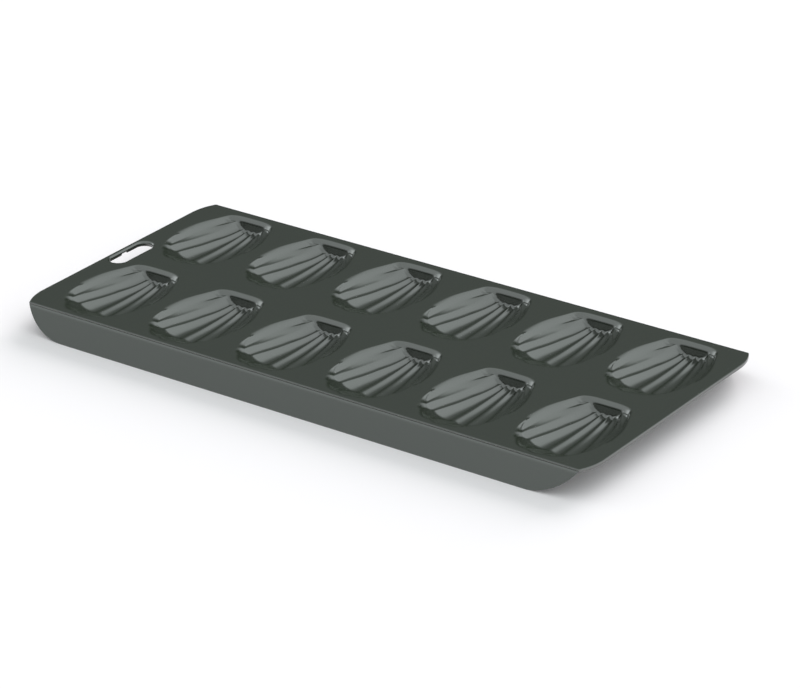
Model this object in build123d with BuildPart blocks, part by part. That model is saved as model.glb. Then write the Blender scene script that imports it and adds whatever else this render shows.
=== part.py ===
from build123d import *

import math
import os

# A madeleine pan: a sheet steel deck with two rows of shell cups, a flared skirt along each long
# side that it stands on, and a slot at one end to hang it by.
# Millimetres. X runs along the deck and Y across it, towards the narrow ends of the shells.
# Z is up, and the origin lies on the table under the middle of the pan.

# Sheet and deck
sheet = 0.8
pan_height = 16.5
corner_radius = 36.0
end_lip_height = 1.8
end_edge_round = 0.6

# Skirts: the foot of each stands this far out past its fold
skirt_flare = 8.5
lap_clearance = 0.1

# Hanging slot, measured inside its turned-down hem, a little behind the middle of its end
slot_length = 35.6
slot_width = 11.1
slot_edge_distance = 2.8
slot_offset = 1.6
slot_hem_height = 2.8
slot_nick_width = 5.0
slot_nick_height = 1.0

# Where the cups stand: between neighbours, between the two rows, and from the deck's edges
column_count = 6
row_names = ("front", "back")
cup_gap = 10.2
middle_gap = 16.8
end_margin = 11.2
fold_margin = 5.5

# Mouth of a cup: widest ahead of its middle, narrower at the hinge end behind
mouth_width = 53.6
hinge_width = 29.6
hinge_reach = 38.2
tip_reach = 38.2
widest_setback = 4.5
hinge_corner_radius = 9.0

# Hollow of a cup, to the crests of its ridges
crest_depth = 11.3
wall_power = 3.4
floor_rise_share = 0.24
hinge_bow = 2.4
hinge_bow_power = 4
hinge_ledge_length = 3.2
hinge_ledge_depth = 2.9
hinge_wall_run = 2.6
hinge_wall_depth = 9.2
floor_blend = 2.5

# Flutes, counted from the ridge along the middle of a cup to its side
crest_shares = (0, 0.285, 0.57, 0.83, 1)
flute_depth = 1.1
fan_spread_share = 0.35
fan_blend = 5.0

# Flange round a mouth, and its seat in the deck
flange_width = 2.4
flange_clearance = 0.1
seat_gap = 0.15
seat_overlap = 0.8

# Places along a cup that its faces pass through: from past its tip to its widest place, and from
# there to the foot of its hinge wall
ahead_shares = (1.05, 0.97, 0.86, 0.72, 0.5, 0.22)
behind_shares = (0.09, 0.37, 0.6, 0.78, 0.915, 1)
slope_step = 0.4
overrun = 4.0
quarter_turn = 90
half_turn = 180

half_mouth = mouth_width / 2
half_hinge = hinge_width / 2
tip_length = tip_reach - widest_setback
back_length = hinge_reach + widest_setback
cup_length = tip_reach + hinge_reach
column_pitch = mouth_width + cup_gap
row_pitch = cup_length + middle_gap
row_count = len(row_names)
pan_length = mouth_width + (column_count - 1) * column_pitch + 2 * end_margin
deck_width = cup_length + (row_count - 1) * row_pitch + 2 * fold_margin
cup_middle = (hinge_reach - tip_reach) / 2
hinge_wall_top = hinge_reach - hinge_ledge_length
hinge_wall_foot = hinge_wall_top - hinge_wall_run
deck = pan_height
deck_underside = deck - sheet
fill_top = wall_power * crest_depth
seat_height = deck_underside - seat_gap
opening_margin = flange_width + flange_clearance
seat_wall_margin = opening_margin + sheet
seat_margin = flange_width - seat_overlap
skirt_lap = fold_margin - seat_wall_margin - 2 * lap_clearance


def soft_min(a, b, blend):
    """The smaller of two depths, with the corner between them rounded."""
    share = max(blend - abs(a - b), 0) / blend
    return min(a, b) - share * share * blend / 4


def side_width(y):
    """Half the width of the shell at y: a parabola behind its widest place, level ahead of it."""
    behind = max(y + widest_setback, 0) / back_length
    return half_mouth - (half_mouth - half_hinge) * behind ** 2


def fan_width(y):
    """Half the width of the fan of ridges: the shell's side, then rays that spread ahead."""
    ahead = max(-widest_setback - y, 0)
    return side_width(y) + fan_spread_share * (math.hypot(ahead, fan_blend) - fan_blend)


def crest_depth_at(x, y):
    """Depth of the ridges' crests: a bowl, cut off behind by the hinge end's ledge and wall."""
    behind = max(y + widest_setback, 0) / back_length
    ahead = max(-widest_setback - y, 0) / tip_length
    reach = math.hypot(x / side_width(y), ahead)
    floor = crest_depth * (1 - floor_rise_share * behind ** 2)
    bowl = floor * (1 - reach ** wall_power if reach < 1 else wall_power * (1 - reach))
    inset = hinge_reach - hinge_bow * abs(x / half_hinge) ** hinge_bow_power - y
    ledge = hinge_ledge_depth * inset / hinge_ledge_length
    wall_slope = (hinge_wall_depth - hinge_ledge_depth) / hinge_wall_run
    wall = hinge_ledge_depth + wall_slope * (inset - hinge_ledge_length)
    return soft_min(bowl, max(ledge, wall), floor_blend)


def steepness(x, y):
    """Slope of the hollow at a place on it."""
    along_x = crest_depth_at(x + slope_step, y) - crest_depth_at(x - slope_step, y)
    along_y = crest_depth_at(x, y + slope_step) - crest_depth_at(x, y - slope_step)
    return math.hypot(along_x, along_y) / (2 * slope_step)


def crests(y, gauge):
    """The ridges' places across the cup at y, a gauge of sheet below the hollow."""
    places = [-share for share in reversed(crest_shares[1:])] + list(crest_shares)
    xs = [place * fan_width(y) for place in places]
    return [(x, -crest_depth_at(x, y) - gauge * math.hypot(1, steepness(x, y))) for x in xs]


def section(y, gauge, flutes):
    """A slice across the solid that fills the cup: fluted below, and open upwards above its rim."""
    tops = crests(y, gauge)
    slope = wall_power * crest_depth / half_mouth
    with BuildSketch(Plane.XZ.offset(-y)) as slice_across:
        with BuildLine():
            for (x0, z0), (x1, z1) in zip(tops, tops[1:]):
                chord = math.hypot(x1 - x0, z1 - z0)
                reach = 2 * flutes / chord
                middle = ((x0 + x1) / 2 + reach * (z1 - z0), (z0 + z1) / 2 - reach * (x1 - x0))
                Bezier((x0, deck + z0), (middle[0], deck + middle[1]), (x1, deck + z1))
            (left, left_z), (right, right_z) = tops[0], tops[-1]
            far_left = left - (fill_top - left_z) / slope
            far_right = right + (fill_top - right_z) / slope
            Polyline((right, deck + right_z), (far_right, deck + fill_top),
                     (far_left, deck + fill_top), (left, deck + left_z))
        make_face()
    return slice_across.sketch.face()


def shell_sections(gauge):
    """Slices from the tip of the shell to the foot of its hinge wall."""
    ahead = [-widest_setback - share * tip_length for share in ahead_shares]
    behind = [-widest_setback + share * (hinge_wall_foot + widest_setback) for share in behind_shares]
    return [section(y, gauge, flute_depth) for y in ahead + behind]


def hinge_sections(gauge):
    """Slices from the foot of the hinge wall, over its ledge, to above the deck."""
    ends = [section(hinge_wall_top, gauge, 0), section(hinge_reach + overrun, gauge, 0)]
    return [section(hinge_wall_foot, gauge, flute_depth)] + ends


def mouth_outline(margin):
    """The cup's mouth, drawn larger all round by the margin."""
    with BuildSketch() as outline:
        with BuildLine():
            wide = half_mouth + margin
            narrow = half_hinge + margin
            back = hinge_reach + margin
            right = TangentArc((wide, -widest_setback), (narrow, back), tangent=(0, 1))
            left = TangentArc((-wide, -widest_setback), (-narrow, back), tangent=(0, 1))
            Line(right @ 1, left @ 1)
            EllipticalCenterArc((0, -widest_setback), wide, tip_length + margin,
                                start_angle=half_turn, arc_size=half_turn)
        make_face()
        fillet(outline.vertices().group_by(Axis.Y)[-1], hinge_corner_radius + margin)
    return outline.sketch


# One cup: the solid that fills its outside, with a flange, less the solid that fills its inside
with BuildPart() as shell_cup:
    loft(shell_sections(sheet))
    loft(hinge_sections(sheet), ruled=True)
    split(bisect_by=Plane.XY.offset(deck), keep=Keep.BOTTOM)
    with BuildSketch(Plane.XY.offset(deck_underside)):
        add(mouth_outline(flange_width))
    extrude(amount=sheet)
    loft(shell_sections(0), mode=Mode.SUBTRACT)
    loft(hinge_sections(0), ruled=True, mode=Mode.SUBTRACT)


# Where each cup stands, by its name
cup_places = {}
for row, row_name in enumerate(row_names):
    for column in range(column_count):
        x = (column - (column_count - 1) / 2) * column_pitch
        y = (row - (row_count - 1) / 2) * row_pitch - cup_middle
        cup_places[f"shell_cup_{row_name}_{column + 1}"] = (x, y)


# Deck: the blank's rounded sheet, cut off at the folds, with a mouth and a slot at each opening
skirt_slant = math.hypot(deck_underside, skirt_flare)
blank_width = deck_width + 2 * skirt_slant
slot_place = slot_edge_distance + slot_width / 2 - pan_length / 2
with BuildPart() as deck_plate:
    with BuildSketch(Plane.XY.offset(deck_underside)):
        RectangleRounded(pan_length, blank_width, corner_radius)
        Rectangle(pan_length, deck_width, mode=Mode.INTERSECT)
        with Locations(*cup_places.values()):
            add(mouth_outline(opening_margin), mode=Mode.SUBTRACT)
        with Locations((slot_place, slot_offset)):
            SlotOverall(slot_length, slot_width, rotation=quarter_turn, mode=Mode.SUBTRACT)
    extrude(amount=sheet)
    with BuildSketch(Plane.XY.offset(seat_height)):
        with Locations(*cup_places.values()):
            add(mouth_outline(seat_wall_margin))
            add(mouth_outline(opening_margin), mode=Mode.SUBTRACT)
    extrude(amount=seat_gap)
    with BuildSketch(Plane.XY.offset(seat_height - sheet)):
        with Locations(*cup_places.values()):
            add(mouth_outline(seat_wall_margin))
            add(mouth_outline(seat_margin), mode=Mode.SUBTRACT)
    extrude(amount=sheet)
    with BuildSketch(Plane.XY.offset(deck - end_lip_height)):
        RectangleRounded(pan_length, blank_width, corner_radius)
        RectangleRounded(pan_length - 2 * sheet, blank_width - 2 * sheet, corner_radius - sheet,
                         mode=Mode.SUBTRACT)
        Rectangle(pan_length, deck_width - 2 * (skirt_lap + lap_clearance), mode=Mode.INTERSECT)
    extrude(amount=end_lip_height - sheet)
    with BuildSketch(Plane.XY.offset(deck - slot_hem_height)):
        with Locations((slot_place, slot_offset)):
            SlotOverall(slot_length + 2 * sheet, slot_width + 2 * sheet, rotation=quarter_turn)
            SlotOverall(slot_length, slot_width, rotation=quarter_turn, mode=Mode.SUBTRACT)
    extrude(amount=slot_hem_height - sheet)
    with BuildSketch(Plane.XY.offset(deck - slot_hem_height)):
        with Locations((slot_place - (slot_width + sheet) / 2, slot_offset)):
            Rectangle(2 * sheet, slot_nick_width)
    extrude(amount=slot_nick_height, mode=Mode.SUBTRACT)
    top_edges = deck_plate.edges().group_by(Axis.Z)[-1]
    end_edges = [edge for edge in top_edges if abs(edge.center().X) > pan_length / 2 - end_lip_height]
    fillet(end_edges, end_edge_round)


# Skirts: a strip lapped under the deck's long edge and bent down to a flared foot
skirt_slope = skirt_flare / deck_underside
foot_width = sheet * math.hypot(1, skirt_slope)
with BuildPart() as front_skirt:
    with BuildSketch(Plane.YZ.offset(-pan_length / 2)):
        with BuildLine():
            fold = -deck_width / 2
            inner_fold = fold - skirt_flare + foot_width + (deck_underside - sheet) * skirt_slope
            Polyline((fold, deck_underside), (fold - skirt_flare, 0),
                     (fold - skirt_flare + foot_width, 0), (inner_fold, deck_underside - sheet),
                     (fold + skirt_lap, deck_underside - sheet), (fold + skirt_lap, deck_underside),
                     close=True)
        make_face()
    extrude(amount=pan_length)
    with BuildSketch(Plane(origin=(0, fold, deck_underside), x_dir=(1, 0, 0),
                           z_dir=(0, -deck_underside, skirt_flare))):
        with Locations((0, blank_width / 2 - skirt_slant)):
            RectangleRounded(pan_length, blank_width, corner_radius)
    extrude(amount=pan_height, both=True, mode=Mode.INTERSECT)

with BuildPart() as back_skirt:
    mirror(front_skirt.part, about=Plane.XZ)


# Nodes
pieces = {"deck_plate": deck_plate.part, "front_skirt": front_skirt.part,
          "back_skirt": back_skirt.part}
for name, (x, y) in cup_places.items():
    with BuildPart() as cup:
        with Locations((x, y, 0)):
            add(shell_cup.part)
    pieces[name] = cup.part

os.makedirs("parts", exist_ok=True)
for name, piece in pieces.items():
    piece.label = name
    export_step(piece, f"parts/{name}.step")
    print(name, round(piece.volume), "mm3")
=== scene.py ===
# %% [markdown]
# # A madeleine pan of coated sheet steel
#
# The pan is one thin sheet with a dark, satin, non-stick coating. Its flat deck has twelve shell
# cups drawn down into it, its two long edges are folded down into skirts that it stands on, and a
# slot near one end takes a hook. Nothing on it moves, so every piece rides on the one body.
#
# The lesson is about sheet metal: the light runs over soft lips, crisp ridges and a folded edge, so
# the surfaces are worked out as formulas, fine enough for the reflections to flow over them.

import math

import bpy
import numpy as np
from mathutils import Matrix, Vector


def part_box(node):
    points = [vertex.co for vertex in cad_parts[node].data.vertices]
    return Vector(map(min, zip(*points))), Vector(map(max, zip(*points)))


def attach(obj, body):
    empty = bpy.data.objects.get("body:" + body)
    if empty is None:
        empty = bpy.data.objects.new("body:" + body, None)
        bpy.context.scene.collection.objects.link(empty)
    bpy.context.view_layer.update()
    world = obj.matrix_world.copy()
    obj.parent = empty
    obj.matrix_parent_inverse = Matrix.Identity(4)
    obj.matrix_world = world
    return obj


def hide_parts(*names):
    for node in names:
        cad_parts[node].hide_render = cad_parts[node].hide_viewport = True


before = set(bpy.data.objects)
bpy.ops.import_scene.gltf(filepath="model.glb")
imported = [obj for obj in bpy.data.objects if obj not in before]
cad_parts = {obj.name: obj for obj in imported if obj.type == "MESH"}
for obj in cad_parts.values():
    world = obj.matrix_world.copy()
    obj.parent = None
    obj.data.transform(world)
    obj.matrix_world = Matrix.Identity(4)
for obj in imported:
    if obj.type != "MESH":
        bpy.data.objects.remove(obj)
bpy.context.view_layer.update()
deck_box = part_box("deck_plate")
skirt_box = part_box("front_skirt")

# %% [markdown]
# ## Sizes
#
# All lengths of the pan are millimetres, as on a drawing of it. The outline comes from the frame, so
# the visible pan and the solid one agree. The cups stand a little to the right of the middles of
# their columns. Millimetres turn into the metres that Blender uses where a mesh or a modifier goes
# into the scene.

# %% Sizes
MILLIMETRES = 1000

sheet = 0.8
deck = deck_box[1][2] * MILLIMETRES
half_length = deck_box[1][0] * MILLIMETRES
half_width = deck_box[1][1] * MILLIMETRES
skirt_flare = -skirt_box[0][1] * MILLIMETRES - half_width
skirt_drop = deck - sheet
corner_radius = 36.0

column_count = 6
column_pitch = 63.8
row_pitch = 93.2
column_places = column_pitch * (np.arange(column_count) - (column_count - 1) / 2)
cup_shift = 1.5
row_places = {"front": -row_pitch / 2, "back": row_pitch / 2}
print("Deck", 2 * half_length, "by", 2 * half_width, "mm, skirts flare", round(skirt_flare, 2), "mm")


# %% [markdown]
# ## Putting a surface into the scene
#
# Each piece is made of grids of points: a function of two parameters gives x, y and z for a whole
# grid at once. The helpers below join neighbouring points into four-sided faces, put them into a
# mesh, give the sheet its thickness and make the piece ride on the pan's one body.

# %% A mesh from grids of points
merge_digits = 7
sharp_angle = math.radians(50)


def grid_faces(rows, columns, closed=False, start=0):
    """Four-sided faces of a grid whose points are counted row by row. A closed grid joins its last
    column to its first."""
    row, column = np.meshgrid(np.arange(rows - 1), np.arange(columns - (not closed)), indexing="ij")
    beside = (column + 1) % columns
    corners = [row * columns + column, row * columns + beside,
               (row + 1) * columns + beside, (row + 1) * columns + column]
    return start + np.stack(corners, axis=-1).reshape(-1, 4)


def place_mesh(name, patches):
    """One object from patches, each a grid of points in millimetres, (rows, columns, 3), and
    whether it closes on itself. The order of a grid's columns decides which way its faces look.
    Points that patches share are merged. The zero that is added turns minus zero, which would
    count as another place, into zero."""
    points, faces, count = [], [], 0
    for grid, closed in patches:
        rows, columns = grid.shape[:2]
        points.append(grid.reshape(-1, 3))
        faces.append(grid_faces(rows, columns, closed, count))
        count += rows * columns
    points, faces = np.concatenate(points) / MILLIMETRES, np.concatenate(faces)
    merged, inverse = np.unique(np.round(points, merge_digits) + 0.0, axis=0, return_inverse=True)
    faces = inverse.reshape(-1)[faces]
    mesh = bpy.data.meshes.new(name)
    mesh.from_pydata(merged.tolist(), [], faces.tolist())
    mesh.validate()
    mesh.shade_smooth()
    piece = bpy.data.objects.new(name, mesh)
    bpy.context.scene.collection.objects.link(piece)
    print(name, "has", len(mesh.vertices), "points and", len(mesh.polygons), "faces")
    return piece


def thicken(piece):
    """Gives a surface the sheet's thickness below its top face, and leaves its cut rim sharp, so
    that the rim doesn't bend the reflections on the face beside it."""
    wall = piece.modifiers.new("sheet", "SOLIDIFY")
    wall.thickness = sheet / MILLIMETRES
    wall.offset = -1
    wall.use_even_offset = True
    bpy.context.view_layer.update()
    evaluated = piece.evaluated_get(bpy.context.evaluated_depsgraph_get())
    surface, piece.data = piece.data, bpy.data.meshes.new_from_object(evaluated)
    piece.modifiers.clear()
    bpy.data.meshes.remove(surface)
    piece.data.set_sharp_from_angle(angle=sharp_angle)


def finish(piece, material, *nodes):
    """Gives a piece its coating and its body, and hides the solids that it stands for."""
    piece.data.materials.append(material)
    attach(piece, "root")
    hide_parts(*nodes)


# %% [markdown]
# ## The coating
#
# A non-stick coating is sprayed on and baked. Its own colour is a green close to black, and the
# dark grey that shows is mostly the room, mirrored by its satin skin. It is a little uneven in
# tone and has a very fine orange peel. Both are procedural noise on Object coordinates. The peel
# goes to a Bump node, so it only bends the reflections, and the uneven tone goes to the base colour
# and the roughness.

# %% The coating
thin_colour, full_colour = (0.005, 0.010, 0.002), (0.003, 0.008, 0.001)
coating_roughness, unevenness = 0.20, 0.06
coating_index = 2.4
cloud_scale, cloud_detail = 28, 3
peel_scale, peel_detail = 1100, 2
peel_strength, peel_height = 0.12, 0.00003


def coating_group():
    """A shader node group: two colours, a roughness and its unevenness go in, and an uneven colour,
    an uneven roughness and a fine peel come out."""
    group = bpy.data.node_groups.new("sprayed coating", "ShaderNodeTree")
    for name, kind, value in (("Thin Colour", "NodeSocketColor", (*thin_colour, 1)),
                              ("Full Colour", "NodeSocketColor", (*full_colour, 1)),
                              ("Roughness", "NodeSocketFloat", coating_roughness),
                              ("Unevenness", "NodeSocketFloat", unevenness)):
        socket = group.interface.new_socket(name, in_out="INPUT", socket_type=kind)
        socket.default_value = value
    for name, kind in (("Colour", "NodeSocketColor"), ("Roughness", "NodeSocketFloat"),
                       ("Peel", "NodeSocketFloat")):
        group.interface.new_socket(name, in_out="OUTPUT", socket_type=kind)
    nodes, links = group.nodes, group.links
    given, result = nodes.new("NodeGroupInput"), nodes.new("NodeGroupOutput")
    place = nodes.new("ShaderNodeTexCoord")

    clouds = nodes.new("ShaderNodeTexNoise")
    clouds.inputs["Scale"].default_value = cloud_scale
    clouds.inputs["Detail"].default_value = cloud_detail
    links.new(place.outputs["Object"], clouds.inputs["Vector"])
    blend = nodes.new("ShaderNodeMix")
    blend.data_type = "RGBA"
    links.new(clouds.outputs["Fac"], blend.inputs["Factor"])
    links.new(given.outputs["Thin Colour"], blend.inputs["A"])
    links.new(given.outputs["Full Colour"], blend.inputs["B"])
    links.new(blend.outputs["Result"], result.inputs["Colour"])

    centred = nodes.new("ShaderNodeMath")
    centred.operation = "SUBTRACT"
    centred.inputs[1].default_value = 0.5
    links.new(clouds.outputs["Fac"], centred.inputs[0])
    uneven = nodes.new("ShaderNodeMath")
    uneven.operation = "MULTIPLY_ADD"
    links.new(centred.outputs[0], uneven.inputs[0])
    links.new(given.outputs["Unevenness"], uneven.inputs[1])
    links.new(given.outputs["Roughness"], uneven.inputs[2])
    links.new(uneven.outputs[0], result.inputs["Roughness"])

    peel = nodes.new("ShaderNodeTexNoise")
    peel.inputs["Scale"].default_value = peel_scale
    peel.inputs["Detail"].default_value = peel_detail
    links.new(place.outputs["Object"], peel.inputs["Vector"])
    links.new(peel.outputs["Fac"], result.inputs["Peel"])
    return group


def coating(name, group):
    """A satin coating: the sprayed group, with its own values, on a Principled BSDF."""
    material = bpy.data.materials.new(name)
    material.use_nodes = True
    nodes, links = material.node_tree.nodes, material.node_tree.links
    shader = nodes["Principled BSDF"]
    spray = nodes.new("ShaderNodeGroup")
    spray.node_tree = group
    shader.inputs["IOR"].default_value = coating_index
    bump = nodes.new("ShaderNodeBump")
    bump.inputs["Strength"].default_value = peel_strength
    bump.inputs["Distance"].default_value = peel_height
    links.new(spray.outputs["Colour"], shader.inputs["Base Color"])
    links.new(spray.outputs["Roughness"], shader.inputs["Roughness"])
    links.new(spray.outputs["Peel"], bump.inputs["Height"])
    links.new(bump.outputs["Normal"], shader.inputs["Normal"])
    return material


top_coating = coating("non_stick_coating", coating_group())
print("Coatings:", [material.name for material in bpy.data.materials if material.use_nodes])


# %% [markdown]
# ## The hollow of a shell cup
#
# Each cup is a scallop shell, narrow and straight at its hinge end. Its hollow is a height field:
# the depth under a place (x, y). Most of it is a bowl, steep at the sides and round below, which grows
# narrower than the rim toward the hinge and leaves a level shelf beside it there. Its front is an
# end wall that climbs straight to the rim, and its hinge end is a sloping ledge with a steep wall
# below it. Soft minimums round the corners where they meet.

# %% The shell's outline
half_mouth = 25.4
half_hinge = 15.0
hinge_reach = 37.2
tip_reach = 38.6
front_power = 2.3
widest_setback = 4.5
tip_length = tip_reach - widest_setback
back_length = hinge_reach + widest_setback


def ramp(value):
    """0 below 0 and 1 above 1, with a smooth S between."""
    value = np.clip(value, 0, 1)
    return value * value * (3 - 2 * value)


def behind_share(y):
    """0 ahead of the shell's widest place, growing to 1 at its hinge end."""
    return np.clip(y + widest_setback, 0, None) / back_length


def side_width(y):
    """Half the shell's width: a parabola behind its widest place, level ahead of it."""
    return half_mouth - (half_mouth - half_hinge) * behind_share(y) ** 2


def front_rim(x):
    """Where the rim lies ahead of the widest place: half an ellipse with a power above 2."""
    across = np.clip(np.abs(x) / half_mouth, 0, 1)
    return -widest_setback - tip_length * (1 - across ** front_power) ** (1 / front_power)


print("The shell is", 2 * half_mouth, "mm wide and", hinge_reach + tip_reach, "mm long")

# %% The depth of the hollow
bowl_depth = 10.1
bowl_power, hinge_power = 2.3, 4.3
floor_rise_share = 0.34
narrowing, narrowing_start, narrowing_length = 4.6, 10.0, 23.0
border_slope, border_depth = 1.1, 2.5
end_slope = 0.45
hinge_bow, hinge_bow_power = 2.0, 4
ledge_length, ledge_depth = 1.9, 1.7
wall_run, wall_depth = 1.6, 9.2
foot_blend, front_blend, ledge_blend, border_blend = 1.2, 0.5, 0.4, 1.0


def soft_min(a, b, blend):
    """The smaller of two arrays, less a parabola where they come closer than the blend."""
    share = np.clip(1 - np.abs(a - b) / blend, 0, 1)
    return np.minimum(a, b) - share ** 2 * blend / 4


def bowl(x, y):
    """Depth times one less the share of the width to a power, going on in a straight line outside,
    where it is below zero, or the border where that lies deeper: a slope from the rim that ends in
    a level shelf. Toward the hinge the bowl narrows and its power grows, which makes it boxier."""
    width = side_width(y)
    at_hinge = ramp((y - narrowing_start) / narrowing_length)
    share = np.abs(x) / (width - narrowing * at_hinge)
    power = bowl_power + (hinge_power - bowl_power) * at_hinge
    fall = np.where(share < 1, 1 - share ** power, power * (1 - share))
    border = np.minimum(border_slope * (width - np.abs(x)), border_depth)
    deep = bowl_depth * (1 - floor_rise_share * behind_share(y) ** 2) * fall
    return -soft_min(-deep, -border, border_blend)


def hinge_inset(x, y):
    """How far a place lies inside the hinge line, which bows toward the tip at its ends."""
    return hinge_reach - hinge_bow * (x / half_hinge) ** hinge_bow_power - y


def hollow_depth(x, y):
    """Depth to the ridges: the smallest of the bowl, the end wall, which is a slope from the front
    rim, and the hinge end, which is the deeper of the ledge and the wall."""
    inset = hinge_inset(x, y)
    ledge = ledge_depth * inset / ledge_length
    wall = ledge_depth + (wall_depth - ledge_depth) / wall_run * (inset - ledge_length)
    front = soft_min(bowl(x, y), end_slope * (y - front_rim(x)), front_blend)
    return soft_min(front, -soft_min(-ledge, -wall, ledge_blend), foot_blend)


print("Depth at the middle of a cup:", round(float(hollow_depth(0.0, 0.0)), 2), "mm")

# %% [markdown]
# ## The fan of flutes
#
# Seven rounded flutes fan out from the hinge and leave six crisp ridges between them, mirrored about
# the middle of the cup. Each ridge is a parabola in y. Across a flute the hollow is deepened by a
# rounded arch, the absolute value of a sine, with its cusp softened by a small amount that stands
# for the radius of the press tool. The flutes fade in below the side rims, run out through the front
# rim, and start part of the way down the hinge wall, which gives its foot small teeth.

# %% The ridges
ridge_lines = ((4.0, -0.05, 0.0), (13.3, -0.2, -0.0006), (18.9, -0.18, -0.0014))
side_number = len(ridge_lines) + 1
fan_spread = 0.35
fan_blend = 5.0


def knots(y):
    """Distances from the middle to the three ridges and to the shell's side, one after another:
    a + b y + c y squared, and for the side a line that goes on spreading ahead of the shell."""
    ahead = np.clip(-widest_setback - y, 0, None)
    side = side_width(y) + fan_spread * (np.hypot(ahead, fan_blend) - fan_blend)
    return [a + b * y + c * y * y for a, b, c in ridge_lines] + [side]


def flute_number(x, y):
    """A half in the middle of the cup, and 1, 2, 3 and 4 on the ridges and the side."""
    lines = knots(y)
    number = 0.5 + 0.5 * np.clip(np.abs(x) / lines[0], 0, 1)
    for near, far in zip(lines, lines[1:]):
        number = number + np.clip((np.abs(x) - near) / (far - near), 0, 1)
    return number


print("Ridges at", [round(float(line), 1) for line in knots(0.0)[:-1]], "mm from the middle")

# %% The flutes
flute_depths = np.array([1.3, 1.3, 0.75, 0.75])
outer_growth, growth_place, growth_length = 0.6, 10.0, 14.0
ridge_softness_share = 0.35
side_fade_depth = 2.2
front_flute_share = 0.5
front_fade_place, front_fade_length = 8.0, 12.0
hinge_fade_place, hinge_fade_length = 3.0, 1.2


def flute_arch(number):
    """0 on a ridge and 1 in the middle of a flute."""
    arch = np.hypot(np.sin(np.pi * number), ridge_softness_share) - ridge_softness_share
    return arch / (math.hypot(1, ridge_softness_share) - ridge_softness_share)


def fluted_depth(x, y):
    """The hollow's depth with its flutes. The outer ones are shallow, and grow toward the tip."""
    depth = hollow_depth(x, y)
    number = flute_number(x, y)
    order = np.clip(np.floor(number), 0, side_number - 1).astype(int)
    growth = outer_growth * (order > 1) * ramp((-growth_place - y) / growth_length)
    inside = ramp(depth / side_fade_depth)
    front = front_flute_share * ramp((-front_fade_place - y) / front_fade_length)
    strength = inside + (1 - inside) * front
    strength *= ramp((hinge_inset(x, y) - hinge_fade_place) / hinge_fade_length)
    return depth + flute_depths[order] * (1 + growth) * strength * flute_arch(number)


print("Depth in the middle flute:", round(float(fluted_depth(0.0, 0.0)), 2), "mm")

# %% [markdown]
# ## The cup's surface
#
# A square grid would cut across the slanting ridges and leave them jagged. So the grid follows
# the shell: one parameter is the number of the flute, so that a ridge lies exactly on one of the
# grid's lines, and the other runs from the hinge end to the front rim. The rim itself is a soft lip
# that leads from the level deck into the slope of the hollow.

# %% The cup's grid
side_lip, hinge_lip, tip_lip = 5.0, 1.8, 1.2
lip_start = 0.27
lip_hinge_place, lip_hinge_length = 14, 14
lip_tip_place, lip_tip_length = 10, 20
lip_blend = 0.12
last_number = 4.4
outer_columns = 7
front_edge_share = 1.06
edge_halvings = 40
hinge_edge = 1.6
columns_per_flute = 12
hinge_steps = ((0.35, 14), (0.1, 18), (0.2, 8))
row_steps = ((0.9, 56), (0.5, 18))


def lip(depth, y):
    """Height over the deck. The rim starts with a share of the hollow's slope and steepens evenly to
    all of it over the lip's drop, which is largest at the sides. A soft minimum meets the deck."""
    to_hinge = ramp((y - lip_hinge_place) / lip_hinge_length)
    to_tip = ramp((-lip_tip_place - y) / lip_tip_length)
    drop = side_lip + (hinge_lip - side_lip) * to_hinge + (tip_lip - side_lip) * to_tip
    inside = depth + drop * (1 - lip_start) / 2
    rolled = lip_start * inside + (1 - lip_start) * np.clip(inside, 0, drop) ** 2 / (2 * drop)
    rolled = np.where(inside > drop, depth, rolled)
    return soft_min(0 * depth, -rolled, lip_blend)


def line_numbers():
    """The numbers of the grid's lines, closer together near the ridges, out to just past the side."""
    steps = (1 - np.cos(np.pi * np.arange(columns_per_flute) / columns_per_flute)) / 2
    whole = (np.arange(1, side_number)[:, None] + steps).ravel()
    half = steps[columns_per_flute // 2:]
    return np.concatenate([half, whole, np.linspace(side_number, last_number, outer_columns)])


def line_place(number, y):
    """How far a line lies from the middle: straight shares between the knots on either side."""
    lines = knots(y)
    place = np.clip(2 * number - 1, 0, 1) * lines[0]
    for order, (near, far) in enumerate(zip(lines, lines[1:]), 1):
        last = np.inf if order == side_number - 1 else 1
        place = place + np.clip(number - order, 0, last) * (far - near)
    return place


def front_edge(number):
    """Where a line leaves the front rim, by halving the stretch it must lie in."""
    near, far = np.full_like(number, -widest_setback), np.full_like(number, -2 * tip_reach)
    for _ in range(edge_halvings):
        middle = (near + far) / 2
        ahead = (-widest_setback - middle) / tip_length
        across = line_place(number, middle) / half_mouth
        outside = across ** front_power + ahead ** front_power > front_edge_share ** front_power
        near, far = np.where(outside, near, middle), np.where(outside, middle, far)
    return near


def distances(steps):
    """How far the rows lie from the first, from pairs of a step and how often it is taken."""
    return np.cumsum(np.concatenate([np.full(count, step) for step, count in steps]))


def cup_grid():
    """The cup as (rows, columns, 3). The first rows keep their distance from the hinge line, where
    the wall needs them, and the others share the rest of each line's length."""
    number = line_numbers()
    at_hinge = line_place(number, hinge_reach - ledge_length)
    back = hinge_reach + hinge_edge - hinge_bow * (at_hinge / half_hinge) ** hinge_bow_power
    near = np.concatenate([[0], distances(hinge_steps)])
    rest = distances(row_steps)[:, None]
    left_over = front_edge(number) - back + near[-1]
    y = np.concatenate([back - near[:, None], back - near[-1] + rest / rest[-1] * left_over])
    x = line_place(number, y)
    half = np.stack([x, y, lip(fluted_depth(x, y), y)], axis=-1)
    return np.concatenate([half[:, :0:-1] * (-1, 1, 1), half], axis=1)


cup = cup_grid()
print("A cup has", cup.shape[0], "rows of", cup.shape[1], "points and is",
      round(-float(cup[..., 2].min()), 2), "mm deep")

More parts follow.
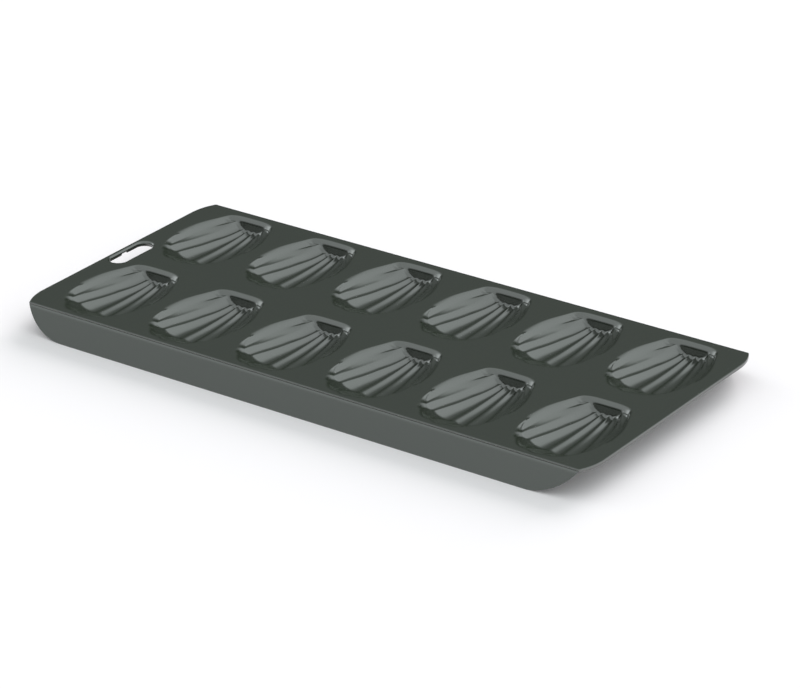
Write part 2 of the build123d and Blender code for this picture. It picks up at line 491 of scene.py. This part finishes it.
# %% Twelve cups
cup_nodes = {f"shell_cup_{row}_{number + 1}": (x + cup_shift, y)
             for row, y in row_places.items() for number, x in enumerate(column_places)}
for node, (x, y) in cup_nodes.items():
    shell = place_mesh(node + "_shell", [((cup + (x, y, deck))[:, ::-1], False)])
    thicken(shell)
    finish(shell, top_coating, node)


# %% [markdown]
# ## The deck
#
# The deck is flat, but it has thirteen holes. Each cup stands in a cell of its own, and a collar
# fills the cell: its inner edge is the cup's own border, point for point, and its outer edge is where
# the rays from the cup's middle meet the cell's outline. Neighbouring collars share their points.
# The slot has a small cell too, cut out of the two cells beside it. Round the outside, a strip
# carries a profile along the deck's outline, rolls over the edge and drops by the height of the
# sheet, or a little more at the two ends.

# %% The deck's outline
edge_round = 0.55
edge_start = 1.2
end_lip_height = 1.8
end_points, arc_points, fold_points = 40, 14, 160
corner_x = half_length - corner_radius
blank_half_width = half_width + math.hypot(skirt_flare, skirt_drop)
corner_y = blank_half_width - corner_radius


def deck_quarter(inset):
    """From the middle of the right end to the middle of the back fold: a straight end, an arc of
    the blank's corner up to the fold, and the fold. All of it lies the inset inside the edge."""
    radius = corner_radius - inset
    fold_y = half_width - inset
    turn = math.asin((fold_y - corner_y) / radius)
    angles = np.linspace(0, turn, arc_points)
    end = np.linspace((half_length - inset, 0), (half_length - inset, corner_y), end_points)
    arc = np.stack([corner_x + radius * np.cos(angles), corner_y + radius * np.sin(angles)], axis=-1)
    fold = np.linspace(arc[-1], (0, fold_y), fold_points)
    return np.concatenate([end[:-1], arc[:-1], fold])


def deck_outline(inset):
    """The whole outline, anticlockwise, from the quarter and its mirror images."""
    quarter = deck_quarter(inset)
    half = np.concatenate([quarter, quarter[-2::-1] * (-1, 1)])
    return np.concatenate([half, half[-2:0:-1] * (1, -1)])


print("The outline has", len(deck_outline(0)), "points")

# %% The deck's cells
slot_distance, slot_offset = 8.35, 1.6
slot_place = (-half_length + slot_distance, slot_offset)
slot_half_length, slot_half_width = 17.8, 5.55
slot_round = 1.5
slot_cell_width, slot_cell_front, slot_cell_back = 16.0, -18.9, 21.6
slot_cell_right = -half_length + slot_cell_width
slot_cell_cut = 4.0
tolerance, smallest_cross = 1e-6, 1e-9


def back_cell(column, notch):
    """The corners of a cell of the back row, anticlockwise. The first one leaves out the corner that
    the slot's own cell takes, up to the notch, with its corner cut off."""
    left, right = column_places[column] + np.array([-0.5, 0.5]) * column_pitch
    rim = deck_quarter(edge_start)[end_points - 1:end_points + arc_points - 1]
    fold = rim[-1, 1]
    if column == column_count - 1:
        return np.array([(left, 0), (rim[0, 0], 0), *rim, (left, fold)])
    if column == 0:
        rim = rim[::-1] * (-1, 1)
        edge = rim[-1, 0]
        return np.array([(slot_cell_right, 0), (right, 0), (right, fold), *rim, (edge, notch),
                         (slot_cell_right - slot_cell_cut, notch),
                         (slot_cell_right, notch - slot_cell_cut)])
    return np.array([(left, 0), (right, 0), (right, fold), (left, fold)])


def ray_hits(middle, points, polygon):
    """Where the rays from the middle through the points meet the polygon: every ray is crossed
    with every side, and the nearest crossing that lies on its side is kept."""
    side = np.roll(polygon, -1, axis=0) - polygon
    ray = (points - middle)[:, None]
    offset = polygon - middle
    cross = ray[..., 0] * side[:, 1] - ray[..., 1] * side[:, 0]
    cross = np.where(np.abs(cross) < smallest_cross, smallest_cross, cross)
    distance = (offset[:, 0] * side[:, 1] - offset[:, 1] * side[:, 0]) / cross
    along = (offset[:, 0] * ray[..., 1] - offset[:, 1] * ray[..., 0]) / cross
    good = (distance > 0) & (along > -tolerance) & (along < 1 + tolerance)
    nearest = np.where(good, distance, np.inf).min(axis=1)
    return middle + (points - middle) * nearest[:, None]


def snap(hits, polygon):
    """Moves the hit nearest to each corner of the polygon onto that corner."""
    apart = hits[None] - polygon[:, None]
    hits[np.hypot(apart[..., 0], apart[..., 1]).argmin(axis=1)] = polygon
    return hits


print("The first cell has", len(back_cell(0, slot_cell_back)), "corners")

# %% The deck's surface
slot_points = 24
collar_rows = 6
round_points = 7
hem_height = 2.8
nick_half_width, nick_height = 2.5, 1.0


def collar(middle, border, polygon):
    """A grid from a border out to the polygon around it, straight along the rays between them."""
    hits = snap(ray_hits(np.array(middle), border, polygon), polygon)
    share = np.linspace(0, 1, collar_rows)[:, None, None]
    flat = border + share * (hits - border)
    return np.concatenate([flat, np.full(flat.shape[:2] + (1,), deck)], axis=-1)


def slot_outline(inset):
    """A slot with round ends, clockwise, drawn smaller by the inset."""
    radius = slot_half_width - inset
    straight = slot_half_length - slot_half_width
    turn = np.linspace(np.pi, 0, slot_points)
    back = np.stack([radius * np.cos(turn), straight + radius * np.sin(turn)], axis=-1)
    side = np.linspace(back[-1], (radius, -straight), 2 * slot_points)[1:-1]
    half = np.concatenate([back, side])
    return slot_place + np.concatenate([half, -half])


def carried(outline, reach, radius, height):
    """A profile carried round an outline, a function that draws it at any inset: level from the
    reach, over a quarter round, then down to the height, which may differ from point to point."""
    turn = np.linspace(0, np.pi / 2, round_points)
    insets = np.concatenate([[reach], radius * (1 - np.sin(turn)), [0, 0]])
    rolled = np.concatenate([[0], radius * (1 - np.cos(turn)), [radius, radius]])
    falls = np.concatenate([np.zeros(1 + len(turn)), [0.5, 1]])
    rings = np.stack([outline(inset) for inset in insets])
    drops = rolled[:, None] + falls[:, None] * (height - radius)
    return np.concatenate([rings, (deck - drops)[..., None]], axis=-1)


border = np.concatenate([cup[0, :-1], cup[:-1, -1], cup[-1, :0:-1], cup[:0:-1, 0]])[:, :2]
patches = []
for number, (x, y) in enumerate(cup_nodes.values()):
    cell = back_cell(number % column_count, slot_cell_back if y > 0 else -slot_cell_front)
    if y < 0:
        cell = cell[::-1] * (1, -1)
    patches.append((collar((x, y), border + (x, y), cell), True))

slot_cell = np.array([(-half_length + edge_start, slot_cell_front),
                      (slot_cell_right - slot_cell_cut, slot_cell_front),
                      (slot_cell_right, slot_cell_front + slot_cell_cut),
                      (slot_cell_right, slot_cell_back - slot_cell_cut),
                      (slot_cell_right - slot_cell_cut, slot_cell_back),
                      (-half_length + edge_start, slot_cell_back)])
patches.append((collar(slot_place, slot_outline(-slot_round), slot_cell), True))

from_slot = slot_outline(0) - slot_place
nick = (np.abs(from_slot[:, 1]) < nick_half_width) & (from_slot[:, 0] < 0)
hem_heights = hem_height - nick_height * nick
hem = carried(lambda inset: slot_outline(-inset), slot_round, slot_round, hem_heights)
patches.append((hem[::-1], True))

at_fold = np.abs(deck_outline(0)[:, 1]) > half_width - tolerance
edge_heights = np.where(at_fold, sheet, end_lip_height)
edge_strip = carried(deck_outline, edge_start, edge_round, edge_heights)
patches.append((edge_strip[:, ::-1], True))

deck_surface = place_mesh("deck_surface", patches)
thicken(deck_surface)
finish(deck_surface, top_coating, "deck_plate")


# %% [markdown]
# ## The skirts
#
# A skirt is the blank's long margin, folded down and out. Seen flat it is a strip with the blank's
# two rounded corners, so its ends are arcs of the same circle that rounds the deck's corners. The
# grid runs down the slope by the angle round that circle, which keeps the arc smooth where it
# runs out level with the foot. A small round shoulder leaves a dark line under the deck's edge. The
# front skirt mirrors the back one, so its columns are turned round for its faces to look outward.

# %% The skirts
shoulder, shoulder_rows = 1.0, 5
skirt_rows, skirt_columns = 44, 240
slant = math.hypot(skirt_flare, skirt_drop)
foot_width = sheet * slant / skirt_drop
edge_break = 0.12


def skirt_face(side, inwards):
    """One face of a skirt, moved inwards: rows by the angle round the blank's corner, from the fold
    to the foot and closer together on the shoulder, and columns by the share of the length."""
    fold_rise = half_width - corner_y
    angles = np.linspace(math.asin(fold_rise / corner_radius), np.pi / 2, skirt_rows)
    shares = np.linspace(0, 1, shoulder_rows + 1)[:-1]
    angles = np.concatenate([angles[0] + (angles[1] - angles[0]) * shares, angles[1:]])
    down = corner_radius * np.sin(angles) - fold_rise
    reach = corner_x + corner_radius * np.cos(angles)
    tucked = shoulder * (1 - np.sqrt(1 - np.clip(1 - down / shoulder, 0, 1) ** 2))
    out = half_width + down * skirt_flare / slant - tucked - inwards
    x = reach[:, None] * np.sin(np.linspace(-np.pi / 2, np.pi / 2, skirt_columns))
    y = np.broadcast_to(side * out[:, None], x.shape)
    z = np.broadcast_to((deck - sheet - down * skirt_drop / slant)[:, None], x.shape)
    return np.stack([x, y, z], axis=-1)


for row, side in (("front", -1), ("back", 1)):
    outer, inner = skirt_face(side, 0), skirt_face(side, foot_width)
    wall = np.concatenate([outer, inner[::-1], outer[:1]])
    ends = [np.stack([inner[:, 0], outer[:, 0]], axis=1),
            np.stack([outer[:, -1], inner[:, -1]], axis=1)]
    turn = slice(None, None, side)
    skirt = place_mesh(row + "_skirt_sheet", [(patch[:, turn], False) for patch in [wall] + ends])
    bevel = skirt.modifiers.new("edge", "BEVEL")
    bevel.width = edge_break / MILLIMETRES
    bevel.segments = 2
    bevel.limit_method = "ANGLE"
    bevel.angle_limit = sharp_angle
    bevel.harden_normals = True
    finish(skirt, top_coating, row + "_skirt")


# %% [markdown]
# ## The camera
#
# The photograph was taken from far off, as its nearly parallel edges show, a little to the right of
# the pan's front and some way above it. The camera is built from what a photographer would note: the
# point it is aimed at, its distance, its two angles and a slight tilt to one side. From here on,
# lengths are metres, apart from the two of the lens.

# %% The camera
aim = Vector((0.0215, -0.0139, deck / MILLIMETRES))
camera_distance = 2.1575
camera_azimuth = math.radians(35.2)
camera_elevation = math.radians(24.97)
camera_roll = math.radians(-0.215)
focal_length, film_width = 168.56, 36
farthest_seen = 50
lens = bpy.data.cameras.new("camera")
lens.lens = focal_length
lens.sensor_width = film_width
lens.clip_end = farthest_seen
camera = bpy.data.objects.new("camera", lens)
bpy.context.scene.collection.objects.link(camera)
backwards = Vector((math.sin(camera_azimuth) * math.cos(camera_elevation),
                    -math.cos(camera_azimuth) * math.cos(camera_elevation), math.sin(camera_elevation)))
turned = (Matrix.Rotation(camera_azimuth, 4, "Z")
          @ Matrix.Rotation(math.pi / 2 - camera_elevation, 4, "X")
          @ Matrix.Rotation(camera_roll, 4, "Z"))
camera.matrix_world = Matrix.Translation(aim + camera_distance * backwards) @ turned
bpy.context.scene.camera = camera
print("Camera at", [round(v, 3) for v in camera.matrix_world.translation])


# %% [markdown]
# ## Floor and background
#
# The pan lies on a white sweep. The floor takes the shadow and gives back most of the light that falls
# on it. A small glow of its own makes up the rest, so that it reaches white without any more light
# on the pan, and mirrors and glass would see the same white floor.

# %% The floor
floor_size = 6.0
floor_colour = (0.82, 0.78, 0.80)
floor_glow = 0.05


def white_floor():
    """White paper: a diffuse surface, with a glow for the camera, in mirrors and through glass."""
    material = bpy.data.materials.new("white_paper")
    material.use_nodes = True
    nodes, links = material.node_tree.nodes, material.node_tree.links
    shader = nodes["Principled BSDF"]
    shader.inputs["Base Color"].default_value = (*floor_colour, 1)
    shader.inputs["Roughness"].default_value = 1
    shader.inputs["Specular IOR Level"].default_value = 0
    path = nodes.new("ShaderNodeLightPath")
    rays = path.outputs["Is Camera Ray"]
    for name in ("Is Glossy Ray", "Is Transmission Ray"):
        either = nodes.new("ShaderNodeMath")
        either.operation = "MAXIMUM"
        links.new(rays, either.inputs[0])
        links.new(path.outputs[name], either.inputs[1])
        rays = either.outputs[0]
    glow = nodes.new("ShaderNodeMath")
    glow.operation = "MULTIPLY"
    glow.inputs[1].default_value = floor_glow
    links.new(rays, glow.inputs[0])
    shader.inputs["Emission Color"].default_value = (1, 1, 1, 1)
    links.new(glow.outputs[0], shader.inputs["Emission Strength"])
    return material


corners = np.array([(-1, -1, 0), (1, -1, 0), (1, 1, 0), (-1, 1, 0)]) * floor_size / 2
floor_mesh = bpy.data.meshes.new("floor")
floor_mesh.from_pydata(corners.tolist(), [], [(0, 1, 2, 3)])
floor_mesh.materials.append(white_floor())
floor = bpy.data.objects.new("floor", floor_mesh)
bpy.context.scene.collection.objects.link(floor)

# %% [markdown]
# ## The room's light
#
# A satin coating shows the room more than its own colour, so the room is where the look comes from.
# A gradient on direction lights the pan like a pale tent with two openings: light from all sides,
# stronger toward the back right, a soft patch low on the left, and a dark opening behind the pan,
# lighter higher up, which the flat deck mirrors. A second one, in front, is what the steep walls at
# the hinge mirror. The background that the camera sees is plain white instead.

# %% The room's light
plain_level, warm_gain = 0.84, 0.4
warm_axis, warm_cosines = (45, 15), (0.3, 0.95)
back_axis, back_cosines = (-35, 0), (0.80, 0.52)
back_level, back_rise = 0.035, 0.465
front_axis, front_cosines = (-150, -10), (0.94, 0.80)
front_level = 0.025
left_axis, left_cosines, left_gain = (-92, 22), (0.92, 0.99), 1.1
light_colour = (0.93, 1.0, 0.99)

world = bpy.data.worlds.new("studio")
bpy.context.scene.world = world
world.use_nodes = True
nodes, links = world.node_tree.nodes, world.node_tree.links
direction = nodes.new("ShaderNodeTexCoord")


def feed(value, socket):
    """Sets a socket to a number, or links another socket to it."""
    if isinstance(value, bpy.types.NodeSocket):
        links.new(value, socket)
    else:
        socket.default_value = value


def calculate(operation, first, second):
    """A Math node on two sockets or numbers."""
    node = nodes.new("ShaderNodeMath")
    node.operation = operation
    feed(first, node.inputs[0])
    feed(second, node.inputs[1])
    return node.outputs[0]


def along(axis):
    """The cosine between a ray and an axis, given as degrees from the back to the right and up."""
    turn, rise = math.radians(axis[0]), math.radians(axis[1])
    node = nodes.new("ShaderNodeVectorMath")
    node.operation = "DOT_PRODUCT"
    links.new(direction.outputs["Generated"], node.inputs[0])
    node.inputs[1].default_value = (math.sin(turn) * math.cos(rise), math.cos(turn) * math.cos(rise),
                                    math.sin(rise))
    return node.outputs["Value"]


def between(value, start, end, low, high):
    """Goes smoothly from low to high while the value goes from start to end."""
    step = nodes.new("ShaderNodeMapRange")
    step.interpolation_type = "SMOOTHSTEP"
    for name, number in (("From Min", start), ("From Max", end), ("To Min", low), ("To Max", high)):
        feed(number, step.inputs[name])
    links.new(value, step.inputs["Value"])
    return step.outputs["Result"]


warm = between(along(warm_axis), *warm_cosines, plain_level, plain_level * (1 + warm_gain))
height = calculate("MAXIMUM", along((0, 90)), 0.0)
dim = calculate("ADD", calculate("MULTIPLY", height, back_rise), back_level)
behind = between(along(back_axis), *back_cosines, dim, warm)
left = between(along(left_axis), *left_cosines, 0.0, left_gain)
level = calculate("ADD", between(along(front_axis), *front_cosines, front_level, behind), left)
room, white = nodes["Background"], nodes.new("ShaderNodeBackground")
room.inputs["Color"].default_value = (*light_colour, 1)
white.inputs["Color"].default_value = (1, 1, 1, 1)
links.new(level, room.inputs["Strength"])
path, either = nodes.new("ShaderNodeLightPath"), nodes.new("ShaderNodeMixShader")
links.new(path.outputs["Is Camera Ray"], either.inputs["Fac"])
links.new(room.outputs[0], either.inputs[1])
links.new(white.outputs[0], either.inputs[2])
links.new(either.outputs[0], nodes["World Output"].inputs["Surface"])
bpy.context.scene.view_settings.view_transform = "Standard"
print("The room's light has", len(nodes), "nodes")

# %% [markdown]
# ## A soft lamp for the shadow
#
# Light from all sides leaves almost no shadow. A wide, soft lamp behind the pan draws it toward the
# viewer. It isn't seen in reflections, so it leaves the satin look alone.

# %% The lamp
lamp_axis, lamp_width, lamp_strength = (-5, 20), 40, 3.5

lamp = bpy.data.objects.new("lamp", bpy.data.lights.new("lamp", "SUN"))
lamp.data.angle = math.radians(lamp_width)
lamp.data.energy = lamp_strength
lamp.rotation_euler = (math.radians(lamp_axis[1] - 90), 0, math.radians(-lamp_axis[0]))
lamp.visible_glossy = False
bpy.context.scene.collection.objects.link(lamp)
shine = lamp.rotation_euler.to_matrix() @ Vector((0, 0, -1))
print("The lamp shines along", [round(v, 2) for v in shine])
